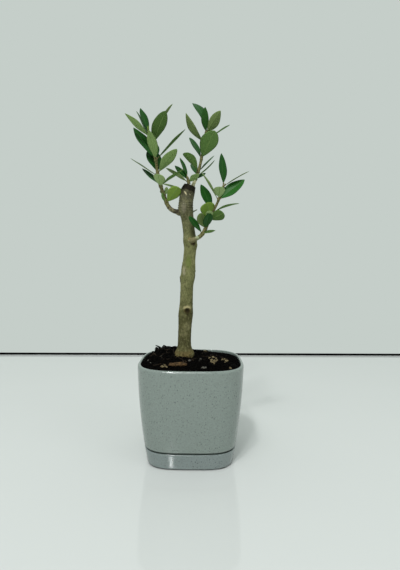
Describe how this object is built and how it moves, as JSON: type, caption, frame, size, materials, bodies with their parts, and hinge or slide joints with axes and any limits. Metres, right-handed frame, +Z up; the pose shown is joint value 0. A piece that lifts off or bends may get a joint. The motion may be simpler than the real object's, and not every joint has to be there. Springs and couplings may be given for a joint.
{
  "type": "potted olive sapling",
  "caption": "Young olive cutting with a bare leaning trunk and sparse leafy shoots at its sawn top, in a rounded-square tapered plastic pot with a matching drip tray.",
  "frame": {"origin": "middle of the drip tray's flat underside, at floor level", "axes": "+Z up along the trunk, -Y towards the viewer of the picture, +X to the viewer's right"},
  "size_m": [0.1041, 0.09, 0.3088],
  "materials": {
    "plastic": "satin, finely speckled",
    "compost": "crumbly, damp",
    "bark": "rough, lightly lichened",
    "young_bark": "smooth, matt",
    "leaves": "leathery, half gloss above and matt below"
  },
  "bodies": {
    "root": {"drip_tray": "plastic", "pot": "plastic", "soil": "compost", "trunk": "bark", "bough_left": "young_bark", "bough_top": "young_bark", "bough_right": "young_bark", "foliage_left": "leaves", "foliage_top": "leaves", "foliage_right": "leaves", "foliage_centre": "leaves"}
  },
  "joints": []
}
